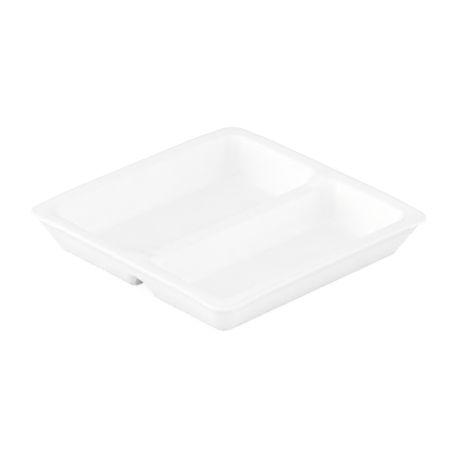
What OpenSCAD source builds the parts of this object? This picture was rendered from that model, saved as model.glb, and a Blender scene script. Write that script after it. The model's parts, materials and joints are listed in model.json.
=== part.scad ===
// Divided serving bowl: one square, thick-walled moulding with two compartments.
// The frame has +Z up, the origin under the middle of the base, the divider
// along X, the large compartment at +Y and the small one at -Y.

/* [Rim] */
// Side of the square rim, over the lip
rim_side = 220; // [180:1:300]
// Corner radius of the lip, seen from above
rim_corner = 13; // [8:0.5:20]
// Flat width from the outer edge of the lip to a compartment's mouth
rim_width = 11.5; // [9:0.5:16]
// Thickness of the lip at its edge
lip_height = 2.8; // [2:0.1:4]
// How far the lip stands out over the outer wall
lip_overhang = 1; // [0.5:0.1:2]
// How far the lip reaches in over the wall
lip_seat = 4; // [3:0.5:6]
// Rounding of the lip's edge, above and below
lip_edge = 1.2; // [0.5:0.1:1.3]

/* [Outer wall] */
// Height of the bowl over everything
bowl_height = 35.5; // [30:0.5:45]
// Lean of the outer wall from upright, in degrees
outer_draft = 28.5; // [15:0.5:29]
// Corner radius of the outer wall under the lip
outer_corner = 25; // [24:0.5:32]
// Rounding between the outer wall and the base
base_edge = 10; // [4:0.5:11]
// How far below the base its roundings would end, which leaves a fine edge there
base_lead = 0.3; // [0.2:0.1:0.5]

/* [Compartments] */
// Depth of both compartments below the rim
well_depth = 29; // [22:0.5:30]
// Lean of the compartment walls from upright, in degrees
well_draft = 27; // [15:0.5:28]
// Radius of the corners between a compartment's walls, the same at every depth
well_corner = 8; // [6.5:0.5:12]
// Rounding between a compartment's walls and its floor
floor_edge = 6; // [4:0.5:7]
// Rounding of a compartment's mouth at the rim
mouth_edge = 3.5; // [1:0.1:4]
// Width of the thicker border of the floor, from the foot of the walls to the floor panels
floor_border = 7; // [6:0.5:10]
// Thickness of the floor panels
floor_thickness = 5.3; // [4:0.1:6]

/* [Divider] */
// Place of the divider's middle along Y
divider_place = -6; // [-20:0.5:20]
// Width of the divider's top between its virtual edges
crown_width = 12; // [10:0.5:16]
// How far the divider's top lies below the rim
crown_drop = 6; // [3:0.5:8]
// Rounding of the divider's top edges
crown_edge = 3; // [1:0.5:4]
// Length over which the divider's top climbs to the rim at each end
saddle_run = 13; // [11:0.5:15]
// Distance from a compartment's mouth back to where that climb ends
saddle_inset = 5; // [3:0.5:7]
// Rounding at the foot and at the head of the climb
saddle_round = 12; // [6:0.5:14]

/* [Groove under the divider] */
// Height of the groove above the base
groove_height = 18; // [12:0.5:19]
// Width of the groove at the base between its virtual edges
groove_width = 24; // [22:0.5:28]
// Lean of the groove's sides from upright, in degrees
groove_draft = 28; // [15:0.5:30]
// Rounding of the groove's ceiling
groove_top_edge = 3; // [1:0.5:3.5]
// Rounding of the groove's edges at the base
groove_base_edge = 5; // [2:0.5:6]
// Rounding of the upright edges where the groove runs out through the outer wall
groove_mouth_edge = 7; // [2:0.5:8]

/* [Hidden] */
$fn = 96;
white = [0.95, 0.95, 0.94];
warm_white = [0.93, 0.93, 0.92];
wall_white = [0.91, 0.92, 0.92];
floor_white = [0.88, 0.89, 0.89];

// Clearance past a face that a cut runs through
past = lip_height;
rim_half = rim_side / 2;
lip_bottom = bowl_height - lip_height;
outer_half = rim_half - lip_overhang;
lip_inner_half = rim_half - lip_seat;
outer_axis = outer_half - outer_corner;
outer_base_radius = outer_corner - (lip_bottom + base_lead) * tan(outer_draft);
mouth_half = rim_half - rim_width;
floor_z = bowl_height - well_depth;
wall_run = well_depth * tan(well_draft);
panel_inset = wall_run + floor_border;
panel_half = mouth_half - panel_inset;
crown_z = bowl_height - crown_drop;
ridge_half = crown_width / 2 - crown_drop * tan(well_draft);
large_mouth_y = divider_place + ridge_half;
small_mouth_y = divider_place - ridge_half;
large_panel_y = large_mouth_y + panel_inset;
small_panel_y = small_mouth_y - panel_inset;
// Facets round a compartment's corner, its foot and its mouth
corner_steps = 12;
foot_steps = 6;
mouth_steps = 5;
groove_half = groove_width / 2;
groove_top_half = groove_half - (groove_height + base_lead) * tan(groove_draft);
saddle_end = mouth_half - saddle_inset;
saddle_start = saddle_end - saddle_run;

function unit(v) = v / norm(v);
function half_angle(corner, a, b) = acos(unit(a - corner) * unit(b - corner)) / 2;
// Point on the edge from the corner towards a where a rounding of the corner begins
function touch(corner, a, b, radius) =
    corner + unit(a - corner) * radius / tan(half_angle(corner, a, b));
// Centre of the arc that rounds the corner between a and b
function round_centre(corner, a, b, radius) =
    corner + unit(unit(a - corner) + unit(b - corner)) * radius / sin(half_angle(corner, a, b));

// What the rounding of a corner adds or takes away; the corner's edges run through a and b
module corner_fill(corner, a, b, radius) {
    centre = round_centre(corner, a, b, radius);
    difference() {
        polygon([corner, touch(corner, a, b, radius), centre, touch(corner, b, a, radius)]);
        translate(centre) circle(radius);
    }
}

// Points of the arc that rounds the corner, from the edge to a round to the edge to b
function arc_points(corner, a, b, radius, steps) = let (
    centre = round_centre(corner, a, b, radius),
    from = touch(corner, a, b, radius) - centre,
    to = touch(corner, b, a, radius) - centre,
    first = atan2(from[1], from[0]),
    turn = atan2(from[0] * to[1] - from[1] * to[0], from * to)
) [for (i = [0:steps]) centre + radius * [cos(first + turn * i / steps), sin(first + turn * i / steps)]];

// Half section of the outer wall, measured outward from its corner axis
module outer_section(inner = 0) {
    base = [outer_base_radius, -base_lead];
    top = [outer_corner, lip_bottom];
    difference() {
        polygon([[inner, -base_lead], base, top, [inner, lip_bottom]]);
        corner_fill(base, [inner, -base_lead], top, base_edge);
        translate([inner, -past]) square([outer_corner - inner, past]);
    }
}

// A compartment's section as [distance out from the mouth's virtual edge, level, corner radius]:
// the foot's rounding, the leaning wall and the mouth's rounding, up past the rim
function well_levels() = let (
    foot = [-wall_run, floor_z],
    mouth = [0, bowl_height],
    brim = [past, bowl_height],
    low = arc_points(foot, foot - [past, 0], mouth, floor_edge, foot_steps),
    high = arc_points(mouth, foot, brim, mouth_edge, mouth_steps),
    low_end = low[foot_steps][0],
    high_start = high[0][0],
    top = high[mouth_steps] + [0, past]
) concat(
    [for (p = low) [p[0], p[1], well_corner + p[0] - low_end]],
    [for (p = concat(high, [top])) [p[0], p[1], well_corner + p[0] - high_start]]
);

// Outline of a compartment at one level: a rectangle with round corners
function well_outline(y0, y1, level) = let (
    half = mouth_half + level[0] - level[2],
    low = y0 - level[0] + level[2],
    high = y1 + level[0] - level[2],
    centres = [[half, high], [-half, high], [-half, low], [half, low]]
) [for (i = [0:3], j = [0:corner_steps]) let (angle = 90 * (i + j / corner_steps))
    [centres[i][0] + level[2] * cos(angle), centres[i][1] + level[2] * sin(angle), level[1]]];

// Hollow of a compartment whose mouth spans y0 to y1, lofted through its outlines
module well(y0, y1) {
    levels = well_levels();
    around = 4 * (corner_steps + 1);
    last = len(levels) - 1;
    polyhedron(
        [for (level = levels) each well_outline(y0, y1, level)],
        concat(
            [[for (i = [0:around - 1]) i]],
            [for (k = [0:last - 1], i = [0:around - 1]) let (next = (i + 1) % around)
                each [[k * around + i, (k + 1) * around + i, (k + 1) * around + next],
                    [k * around + i, (k + 1) * around + next, k * around + next]]],
            [[for (i = [around - 1:-1:0]) last * around + i]]
        )
    );
}

// Sweeps a half section round a rectangle of corner axes and fills the middle
module sweep_round(x0, x1, y0, y1, z0, z1) {
    translate([x1, y1, 0]) rotate_extrude(angle = 90) children();
    translate([x0, y1, 0]) rotate([0, 0, 90]) rotate_extrude(angle = 90) children();
    translate([x0, y0, 0]) rotate([0, 0, 180]) rotate_extrude(angle = 90) children();
    translate([x1, y0, 0]) rotate([0, 0, 270]) rotate_extrude(angle = 90) children();
    translate([x1, y1, 0]) rotate([90, 0, 0]) linear_extrude(y1 - y0) children();
    translate([x0, y0, 0]) rotate([90, 0, 180]) linear_extrude(y1 - y0) children();
    translate([x0, y1, 0]) rotate([90, 0, 90]) linear_extrude(x1 - x0) children();
    translate([x1, y0, 0]) rotate([90, 0, 270]) linear_extrude(x1 - x0) children();
    translate([x0, y0, z0]) cube([x1 - x0, y1 - y0, z1 - z0]);
}

module outer_body() {
    sweep_round(-outer_axis, outer_axis, -outer_axis, outer_axis, 0, lip_bottom)
        outer_section();
}

module large_well() {
    well(large_mouth_y, mouth_half);
}

module small_well() {
    well(-mouth_half, small_mouth_y);
}

// Side view of the space over the divider, whose ends climb to the rim
module saddle_section() {
    foot = [saddle_start, crown_z];
    head = [saddle_end, bowl_height];
    back = head + [past, 0];
    top = touch(head, back, foot, saddle_round);
    difference() {
        polygon([[0, crown_z], foot, touch(head, foot, back, saddle_round), top, top + [0, past],
            [0, bowl_height + past]]);
        corner_fill(foot, [0, crown_z], head, saddle_round);
        translate(round_centre(head, foot, back, saddle_round)) circle(saddle_round);
    }
}

module saddle_cut(side) {
    mirror([side < 0 ? 1 : 0, 0, 0])
        translate([0, large_panel_y, 0])
            rotate([90, 0, 0]) linear_extrude(large_panel_y - small_panel_y) saddle_section();
}

// One side of the groove's end view: from below the base to the ceiling
function groove_side(side) = let (
    edge = [side * groove_half, -base_lead],
    out = edge + [side * past, 0],
    top = [side * groove_top_half, groove_height],
    low = arc_points(edge, out, top, groove_base_edge, mouth_steps),
    high = arc_points(top, edge, [0, groove_height], groove_top_edge, foot_steps)
) concat([[low[0][0], -past]], low, high);

// End view of the groove under the divider, about the divider's middle
module groove_section() {
    left = groove_side(-1);
    polygon(concat(groove_side(1), [for (i = [len(left) - 1:-1:0]) left[i]]));
}

module groove_cut() {
    translate([-rim_half, divider_place, 0]) rotate([90, 0, 90])
        linear_extrude(rim_side) groove_section();
}

// Cutter for the rounding of a straight edge that starts at origin and runs along a direction;
// a and b point from it along its two faces
module edge_cutter(origin, along, a, b, radius, length) {
    z = unit(along);
    x = unit(a - (a * z) * z);
    y = cross(z, x);
    edge = [0, 0];
    side = [radius, 0];
    other = radius * [b * x, b * y];
    multmatrix([[x[0], y[0], z[0], origin[0]], [x[1], y[1], z[1], origin[1]],
        [x[2], y[2], z[2], origin[2]], [0, 0, 0, 1]])
        linear_extrude(length) polygon(concat([-(side + other) / 2],
            arc_points(edge, side, other, radius, corner_steps)));
}

// Cutters for the upright edges of the groove's open end, up to its ceiling
module groove_mouth_cut(side) {
    wall_x = outer_half - (lip_bottom + past) * tan(outer_draft);
    half_width = groove_half + (past - base_lead) * tan(groove_draft);
    mirror([side < 0 ? 1 : 0, 0, 0]) intersection() {
        for (flank = [-1, 1]) {
            along = [tan(outer_draft), -flank * tan(groove_draft), 1];
            edge_cutter([wall_x, divider_place + flank * half_width, -past], along,
                [0, flank, 0], [-1, 0, 0], groove_mouth_edge,
                (groove_height + 2 * past) * norm(along));
        }
        translate([0, small_panel_y, -past])
            cube([rim_half, large_panel_y - small_panel_y, groove_height + past]);
    }
}

// End view of the divider between the two floors
module ridge_section() {
    large_floor = [large_panel_y, floor_z];
    large_foot = [large_panel_y - floor_border, floor_z];
    large_head = [divider_place + crown_width / 2, crown_z];
    small_head = [divider_place - crown_width / 2, crown_z];
    small_foot = [small_panel_y + floor_border, floor_z];
    small_floor = [small_panel_y, floor_z];
    difference() {
        polygon(concat([[small_panel_y, 0], [large_panel_y, 0], large_floor],
            arc_points(large_foot, large_floor, large_head, floor_edge, foot_steps),
            arc_points(large_head, large_foot, small_head, crown_edge, foot_steps),
            arc_points(small_head, large_head, small_foot, crown_edge, foot_steps),
            arc_points(small_foot, small_head, small_floor, floor_edge, foot_steps),
            [small_floor]));
        translate([divider_place, 0]) groove_section();
    }
}

// Section of the lip, measured outward from its corner axis
module lip_section() {
    axis = rim_half - rim_corner;
    inner = lip_inner_half - axis;
    difference() {
        translate([inner, lip_bottom]) square([lip_seat, lip_height]);
        corner_fill([rim_corner, lip_bottom], [inner, lip_bottom], [rim_corner, bowl_height], lip_edge);
        corner_fill([rim_corner, bowl_height], [inner, bowl_height], [rim_corner, lip_bottom], lip_edge);
    }
}

module rim_lip() {
    axis = rim_half - rim_corner;
    color(white)
        for (quarter = [0:3]) rotate([0, 0, 90 * quarter]) {
            translate([axis, axis, 0]) rotate_extrude(angle = 90) lip_section();
            translate([axis, axis, 0]) rotate([90, 0, 0]) linear_extrude(2 * axis) lip_section();
        }
}

module rim_top() {
    axis = rim_half - rim_corner;
    radius = rim_corner - lip_seat;
    color(warm_white)
        difference() {
            translate([0, 0, lip_bottom]) linear_extrude(lip_height) union() {
                square([2 * axis, 2 * lip_inner_half], center = true);
                square([2 * lip_inner_half, 2 * axis], center = true);
                for (x = [-axis, axis], y = [-axis, axis]) translate([x, y]) circle(radius);
            }
            large_well();
            small_well();
            translate([-panel_half, small_panel_y, 0])
                cube([2 * panel_half, large_panel_y - small_panel_y, bowl_height + past]);
            saddle_cut(1);
            saddle_cut(-1);
        }
}

// Part of the outer body on one side of the plane y = from
module body_beyond(from, side) {
    intersection() {
        outer_body();
        translate([-rim_half, side > 0 ? from : from - rim_side, 0])
            cube([rim_side, rim_side, lip_bottom]);
    }
}

module large_compartment_wall() {
    color(wall_white)
        difference() {
            body_beyond(large_panel_y, 1);
            large_well();
            translate([-panel_half, large_panel_y - past, -past])
                cube([2 * panel_half, panel_half - large_panel_y + past, floor_z + 2 * past]);
        }
}

module small_compartment_wall() {
    color(wall_white)
        difference() {
            body_beyond(small_panel_y, -1);
            small_well();
            translate([-panel_half, -panel_half, -past])
                cube([2 * panel_half, small_panel_y + panel_half + past, floor_z + 2 * past]);
        }
}

module large_compartment_floor() {
    color(floor_white)
        translate([-panel_half, large_panel_y, floor_z - floor_thickness])
            cube([2 * panel_half, panel_half - large_panel_y, floor_thickness]);
}

module small_compartment_floor() {
    color(floor_white)
        translate([-panel_half, -panel_half, floor_z - floor_thickness])
            cube([2 * panel_half, small_panel_y + panel_half, floor_thickness]);
}

module divider_ridge() {
    color(white)
        translate([-panel_half, 0, 0]) rotate([90, 0, 90])
            linear_extrude(2 * panel_half) ridge_section();
}

// End of the divider, where it climbs to the rim and meets the outer wall
module divider_end(side) {
    color(warm_white)
        difference() {
            mirror([side < 0 ? 1 : 0, 0, 0]) translate([outer_axis, large_panel_y, 0])
                rotate([90, 0, 0]) linear_extrude(large_panel_y - small_panel_y)
                    outer_section(panel_half - outer_axis);
            large_well();
            small_well();
            saddle_cut(side);
            groove_cut();
            groove_mouth_cut(side);
        }
}

module left_divider_end() {
    divider_end(-1);
}

module right_divider_end() {
    divider_end(1);
}

rim_lip();
rim_top();
large_compartment_wall();
small_compartment_wall();
large_compartment_floor();
small_compartment_floor();
divider_ridge();
left_divider_end();
right_divider_end();
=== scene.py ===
"""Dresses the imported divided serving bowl: smooth white pieces, a pale studio and the camera.

Each piece follows a rule that is worked out from the bowl's sizes: an upper surface and a
lower surface, both rounded as a thick matt glaze rounds a moulded body.
"""

import json
import math

import bpy
import numpy as np
from mathutils import Matrix, Vector

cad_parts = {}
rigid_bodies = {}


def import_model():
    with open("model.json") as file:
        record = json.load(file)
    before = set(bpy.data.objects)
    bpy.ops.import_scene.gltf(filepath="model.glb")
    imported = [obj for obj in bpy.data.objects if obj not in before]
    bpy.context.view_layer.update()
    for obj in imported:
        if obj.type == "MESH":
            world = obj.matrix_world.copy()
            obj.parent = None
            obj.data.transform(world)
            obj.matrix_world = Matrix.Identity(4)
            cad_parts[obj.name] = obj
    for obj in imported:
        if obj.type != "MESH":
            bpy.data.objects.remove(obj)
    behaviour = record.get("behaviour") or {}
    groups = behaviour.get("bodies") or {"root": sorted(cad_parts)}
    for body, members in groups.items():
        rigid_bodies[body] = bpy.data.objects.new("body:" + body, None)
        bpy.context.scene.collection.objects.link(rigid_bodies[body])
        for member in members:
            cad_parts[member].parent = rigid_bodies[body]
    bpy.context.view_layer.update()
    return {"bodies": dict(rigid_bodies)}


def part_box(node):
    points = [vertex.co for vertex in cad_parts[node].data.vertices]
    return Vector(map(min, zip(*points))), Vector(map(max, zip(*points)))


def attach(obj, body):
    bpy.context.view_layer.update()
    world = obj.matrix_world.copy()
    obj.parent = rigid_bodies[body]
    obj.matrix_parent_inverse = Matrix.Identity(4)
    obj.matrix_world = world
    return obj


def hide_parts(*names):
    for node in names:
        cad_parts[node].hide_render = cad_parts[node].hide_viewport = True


bl_info = {
    "name": "Divided serving bowl",
    "version": (1, 0, 0),
    "blender": (4, 5, 0),
    "location": "View3D > Sidebar > Bowl",
    "description": "Builds a square serving bowl with two compartments from its sizes",
    "category": "Add Mesh",
}

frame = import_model()
LIP_LOW, LIP_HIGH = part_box("rim_lip")
TOP_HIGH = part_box("rim_top")[1]
WALL_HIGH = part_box("large_compartment_wall")[1]
LARGE_LOW, LARGE_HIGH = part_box("large_compartment_floor")
SMALL_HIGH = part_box("small_compartment_floor")[1]
RIDGE_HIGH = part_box("divider_ridge")[1]
BODY = next(iter(frame["bodies"]))

MILLIMETRE = 0.001
QUARTER = math.pi / 2
WHITE = (1.0, 1.0, 1.0, 1.0)

# Least values of two kinds of divisor, which keep them off zero
TINY = 1e-9
LEAST_SQUARE = 1e-12
# Surfaces whose normals' cosine is this near to 1 have no edge to round
PARALLEL = 1e-6
# Share of its radius up to which a rounding is worked out, just short of upright
NEARLY_ALL = 0.999
# Steps over which a surface's slope, its bend and the slope of the rim's sag are measured
SLOPE_STEP = 0.05 * MILLIMETRE
BEND_STEP = 0.4 * MILLIMETRE
SAG_STEP = 0.5 * MILLIMETRE

# Where the rim's corners start to hang, and over how much more they reach their full sag,
# as the product of x and y against the square of the rim's half side
SAG_START = 0.55
SAG_RUN = 0.38
# Share of the rim's width over which its fall reaches its full slope
FALL_EASE = 0.4
# Level in the groove, as a share of its height, from which its mouth's rounding narrows to the
# one at its ceiling, and over how much more it does so
CEILING_START = 0.55
CEILING_RUN = 0.4

# Distances below the lip at which a painted shade starts, is darkest and ends; there the wall is made to
# count as hollow, so that it takes the dark deep glaze colour
SHADE_UNDER_LIP = (0.0, 2.8 * MILLIMETRE, 13.0 * MILLIMETRE)
# How hollow the wall is made to count, per metre, where that painted shade is darkest
SHADE_UNDER_LIP_BEND = 620.0

# Points round the lip's path, on each corner of the path and on each rounding of its section
LIP_POINTS = 864
LIP_CORNER_POINTS = 40
LIP_EDGE_POINTS = 8
# A face of the lip keeps its own flat normal where that points up or down by more than the first
# of these, or outward by less than the second
FACES_UP = 0.9999
FACES_IN = -0.5

# Bends, per metre, at which the glaze starts to thin or to pool, and at which it fully does; the thin
# colour is partly painted shade over convex edges and the deep colour partly painted shade in hollows
THIN_AND_SHADE_BEND = (240.0, 420.0)
POOL_AND_SHADE_BEND = (-150.0, -650.0)
# Scale, detail and roughness of each noise in the glaze
CLOUD = (38.0, 3.0, 0.55)
DRIFT = (11.0, 2.0, 0.5)
SPECK = (1500.0, 2.0, 0.6)
RIPPLE = (170.0, 2.0, 0.5)
# Values of the two slow noises between which the glaze changes its tone, and the most it does
CLOUD_TONES = (0.42, 0.66)
DRIFT_TONES = (0.5, 0.75)
MOST_MOTTLE = 0.5
# Change of the roughness over the cloud noise, where the glaze pools and where it is thin
CLOUD_ROUGH_TONES = (0.3, 0.7)
CLOUD_ROUGH = 0.05
POOL_ROUGH = -0.05
THIN_ROUGH = 0.22
# Strength and depth of the bumps in the glaze, and how strongly it mirrors
BUMP_STRENGTH = 0.18
BUMP_DEPTH = 0.2 * MILLIMETRE
MIRROR_LEVEL = 0.35
GLAZE_IOR = 1.5
# For each slot, what is taken off the roughness, and the share of the mottle and of the grain
SLOT_GLAZE = {
    "rim": (0.06, 0.6, 0.8),
    "wall": (0.0, 1.0, 1.0),
    "floor": (0.03, 1.3, 1.1),
    "divider": (0.02, 0.9, 0.9),
}
# Sockets that a mix node uses for colours
MIX_AMOUNT = 0
MIX_FIRST = 6
MIX_SECOND = 7
MIX_RESULT = 2

# Angle of each lamp round the bowl from the camera and up from the floor, in degrees
LAMP_ANGLES = {"key": (-85.0, 20.0), "fill": (85.0, 20.0), "high": (0.0, 60.0)}
# Width of the camera's sensor in millimetres
SENSOR_WIDTH = 36.0
# Radius of the round floor in metres, its sides, how far it lies below the bowl, and its paint
FLOOR_REACH = 3.0
FLOOR_SIDES = 64
FLOOR_DROP = 0.05 * MILLIMETRE
FLOOR_ROUGHNESS = 0.9
# Strength of the white that the camera sees on the floor
FLOOR_GLOW = 1.06


def length(name, description, default, low, high):
    """Length property, in metres and shown in the scene's unit."""
    return bpy.props.FloatProperty(
        name=name,
        description=description,
        default=default,
        min=low,
        max=high,
        precision=4,
        subtype="DISTANCE",
        unit="LENGTH",
    )


def angle(name, description, degrees, low=-180.0, high=180.0):
    """Angle property, given in degrees."""
    return bpy.props.FloatProperty(
        name=name,
        description=description,
        default=math.radians(degrees),
        min=math.radians(low),
        max=math.radians(high),
        subtype="ANGLE",
        unit="ROTATION",
    )


def share(name, description, default, high=1.0, low=0.0):
    """Plain number within a range."""
    return bpy.props.FloatProperty(
        name=name, description=description, default=default, min=low, max=high, subtype="FACTOR"
    )


def power(name, description, default):
    """Power property of a lamp, in watts."""
    return bpy.props.FloatProperty(
        name=name, description=description, default=default, min=0.0, max=500.0, unit="POWER"
    )


def colour(name, description, default):
    """Colour property in linear light."""
    return bpy.props.FloatVectorProperty(
        name=name,
        description=description,
        default=default,
        size=4,
        min=0.0,
        max=1.0,
        subtype="COLOR",
    )


class BowlShape(bpy.types.PropertyGroup):
    """Sizes of the bowl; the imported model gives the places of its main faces."""

    rim_corner: length("Rim corner", "Corner radius of the lip, from above", 0.013, 0.008, 0.02)
    rim_width: length("Rim width", "Flat width from the lip's edge to a mouth", 0.0115, 0.009, 0.016)
    lip_edge: length("Lip edge", "Height of the lip's upper rounding", 0.0024, 0.0005, 0.0024)
    lip_stretch: share("Lip stretch", "Width of the lip's roundings against their height", 1.6, 1.65, 1.0)
    lip_under_edge: length("Lip under edge", "Height of the lower rounding", 0.0003, 0.0001, 0.00035)
    rim_fall: length("Rim fall", "How far the rim falls from the lip to a mouth", 0.0011, 0.0, 0.003)
    corner_sag: length("Corner sag", "How far the rim's corners hang below its sides", 0.0019, 0.0, 0.004)
    outer_lean: angle("Outer lean", "Lean of the outer wall from upright", 28.5, 10.0, 40.0)
    outer_corner: length(
        "Outer corner", "From the wall's top in to the centre of the base's corners", 0.025, 0.02, 0.032
    )
    outer_growth: share("Outer growth", "Growth of the outer corner radius against the wall's spread", 0.42)
    base_edge: length("Base edge", "Rounding between the wall and the base", 0.010, 0.004, 0.011)
    well_lean: angle("Compartment lean", "Lean of its walls from upright", 27.0, 10.0, 40.0)
    well_corner: length(
        "Compartment corner", "Radius of the corners at the walls' foot", 0.008, 0.0065, 0.012
    )
    corner_growth: share("Corner growth", "Growth of that radius against the walls' spread", 0.45)
    floor_edge: length("Floor edge", "Rounding at the foot of a compartment wall", 0.006, 0.004, 0.007)
    mouth_edge: length("Mouth edge", "Rounding at a compartment's mouth", 0.0035, 0.001, 0.004)
    crown_edge: length("Crown edge", "Rounding along the divider's top", 0.003, 0.001, 0.004)
    saddle_run: length("Saddle run", "Length over which the divider climbs to the rim", 0.013, 0.01, 0.016)
    saddle_inset: length("Saddle inset", "From a mouth back to where the climb ends", 0.005, 0.002, 0.008)
    saddle_round: length("Saddle rounding", "Rounding at the climb's foot and head", 0.012, 0.006, 0.014)
    groove_height: length("Groove height", "Height of the groove under the divider", 0.018, 0.012, 0.019)
    groove_width: length("Groove width", "Width of the groove at the base", 0.024, 0.022, 0.028)
    groove_lean: angle("Groove lean", "Lean of the groove's sides from upright", 28.0, 10.0, 40.0)
    groove_top_edge: length("Groove ceiling edge", "Rounding of the ceiling's edges", 0.003, 0.001, 0.004)
    groove_foot_edge: length(
        "Groove foot edge", "Rounding where the groove meets the base", 0.005, 0.002, 0.006
    )
    groove_mouth_edge: length(
        "Groove mouth edge", "Rounding where the groove's sides meet the wall", 0.007, 0.002, 0.009
    )
    groove_lintel_edge: length(
        "Groove lintel edge", "Rounding where the ceiling meets the wall", 0.0008, 0.0003, 0.003
    )
    panel_ramp: length("Panel ramp", "Width of the step round the floor panels", 0.0015, 0.0005, 0.003)


class BowlFinish(bpy.types.PropertyGroup):
    """Look of the matt white glaze."""

    body: colour("Glaze", "Colour of the glaze on the walls", (0.925, 0.926, 0.922, 1.0))
    # The thin glaze colour is partly real thin glaze and partly painted shade: it is darkened to dim the
    # lamps' highlight on the lip and other convex edges
    edge: colour("Thin glaze and shade", "Colour where the glaze runs thin over an edge", (0.892, 0.891, 0.886, 1.0))
    # The deep glaze colour is partly real pooling and partly painted shade: it darkens hollows, corners,
    # the foot of the walls and the wall under the lip
    pool: colour("Deep glaze and shade", "Colour where the glaze pools in a hollow", (0.885, 0.888, 0.888, 1.0))
    roughness: share("Roughness", "Roughness of the matt glaze", 0.62)
    mottle: share("Mottle", "Strength of the cloudy tone in the glaze", 0.35)
    grain: share("Grain", "Strength of the fine grain in the surface", 0.25)


class BowlStudio(bpy.types.PropertyGroup):
    """Camera, floor and lamps."""

    azimuth: angle("Camera azimuth", "Where the camera stands, round the bowl from +X", -133.84)
    elevation: angle("Camera elevation", "How far the camera looks down", 27.75)
    roll: angle("Camera roll", "Turn of the camera about its own axis", 0.334395)
    distance: length("Camera distance", "From the rim's middle to the camera", 2.60238, 0.5, 6.0)
    aside: length("Camera aside", "Shift of the camera to its right", 0.0014526, -0.1, 0.1)
    above: length("Camera above", "Shift of the camera upwards in its own view", -0.014158, -0.1, 0.1)
    lens: bpy.props.FloatProperty(
        name="Lens",
        description="Focal length of the camera",
        default=269.13,
        min=20.0,
        max=600.0,
        subtype="DISTANCE_CAMERA",
        unit="CAMERA",
    )
    floor: colour("Floor", "Colour of the floor", (0.97, 0.97, 0.97, 1.0))
    sky: share("Sky", "Strength of the even light from all round", 0.67, 4.0)
    key: power("Key lamp", "Light of the lamp on the left", 9.1)
    fill: power("Fill lamp", "Light of the lamp on the right", 6.2)
    high: power("High lamp", "Light of the lamp high over the camera", 8.6)
    lamp_distance: length("Lamp distance", "From the bowl to each lamp", 1.9, 1.0, 4.0)
    lamp_size: length("Lamp size", "Side of each square lamp", 1.2, 0.2, 3.0)
    shadow: share("Shadow", "How much of its shadow the floor shows", 0.15)


def bend(place, corner, level, slope_in, slope_out, radius):
    """Level and slope along a profile of two straight runs with a rounded corner.

    The runs meet at (corner, level) and rise with slope_in before it and slope_out after it.
    """
    angle_in, angle_out = math.atan(slope_in), math.atan(slope_out)
    turn = angle_out - angle_in
    side = math.copysign(1.0, turn)
    reach = radius * math.tan(abs(turn) / 2)
    start = corner - reach * math.cos(angle_in)
    end = corner + reach * math.cos(angle_out)
    centre = start - side * radius * math.sin(angle_in)
    centre_level = level + slope_in * (start - corner) + side * radius * math.cos(angle_in)
    limit = NEARLY_ALL * radius
    across = np.clip(place - centre, -limit, limit)
    drop = np.sqrt(radius**2 - across**2)
    before, after = place < start, place > end
    levels = np.where(before, level + slope_in * (place - corner), centre_level - side * drop)
    levels = np.where(after, level + slope_out * (place - corner), levels)
    slopes = np.where(before, slope_in, side * across / drop)
    return levels, np.where(after, slope_out, slopes)


def ramp(value, start, run):
    """Share of a run that a value has passed, from 0 before its start to 1 past its end."""
    return np.clip((value - start) / run, 0.0, 1.0)


def eased(part):
    """Share from 0 to 1 that sets off and ends gently."""
    return part * part * (3 - 2 * part)


def off_border(out_x, out_y, corner, growth, wall_start):
    """Distance outward over rounded outlines, and its slope along both directions.

    out_x and out_y are the distances past the sides of a plain rectangle. Where the wall
    starts, the outline's corners have the radius corner. Further in, the outlines share that
    corner's centre. Further out, their radius grows by a share of the distance.
    """
    round_x = np.maximum(out_x - (wall_start - corner), 0.0)
    round_y = np.maximum(out_y - (wall_start - corner), 0.0)
    reach = np.hypot(round_x, round_y)
    safe = np.where(reach > 0, reach, 1.0)
    on_floor = reach < corner
    shift = corner - growth * wall_start
    pace = 1 - growth
    far_x, far_y = out_x + shift, out_y + shift
    square = 2 * pace**2 - growth**2
    linear = pace * (far_x + far_y) + growth * shift
    constant = far_x**2 + far_y**2 - shift**2
    inside = np.maximum(linear**2 - square * constant, 0.0)
    on_arc = (linear - np.sqrt(inside)) / square
    straight = np.maximum(out_x, out_y)
    in_corner = np.minimum(out_x, out_y) > pace * straight - shift
    on_wall = np.where(in_corner, on_arc, straight)
    normal_x = np.maximum(far_x - pace * on_wall, 0.0)
    normal_y = np.maximum(far_y - pace * on_wall, 0.0)
    radius = growth * on_wall + shift
    total = np.maximum(pace * (normal_x + normal_y) + growth * radius, TINY)
    slope_x = np.where(in_corner, normal_x / total, out_x >= out_y)
    slope_y = np.where(in_corner, normal_y / total, out_y > out_x)
    distance = np.where(on_floor, wall_start - corner + reach, on_wall)
    toward_x = np.where(on_floor, round_x / safe, slope_x)
    return distance, toward_x, np.where(on_floor, round_y / safe, slope_y)


def eased_min(first, second, radius):
    """Lower of two surfaces (level, slope along x, slope along y), their edge rounded."""
    level_a, ax, ay = first
    level_b, bx, by = second
    tilt_a = 1 / np.sqrt(1 + ax**2 + ay**2)
    tilt_b = 1 / np.sqrt(1 + bx**2 + by**2)
    facing = (ax * bx + ay * by + 1) * tilt_a * tilt_b
    lift_a = radius - tilt_a * level_a
    lift_b = radius - tilt_b * level_b
    square = np.maximum(tilt_a**2 + tilt_b**2 - 2 * facing * tilt_a * tilt_b, LEAST_SQUARE)
    linear = tilt_a * lift_a + tilt_b * lift_b - facing * (tilt_a * lift_b + tilt_b * lift_a)
    constant = lift_a**2 + lift_b**2 - 2 * facing * lift_a * lift_b - radius**2 * (1 - facing**2)
    inside = linear**2 - square * constant
    level = (np.sqrt(np.maximum(inside, 0.0)) - linear) / square
    out_a, out_b = tilt_a * level + lift_a, tilt_b * level + lift_b
    on_arc = (inside > 0) & (out_a > facing * out_b) & (out_b > facing * out_a)
    on_arc &= facing < 1 - PARALLEL
    return np.where(on_arc, level, np.minimum(level_a, level_b))


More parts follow.
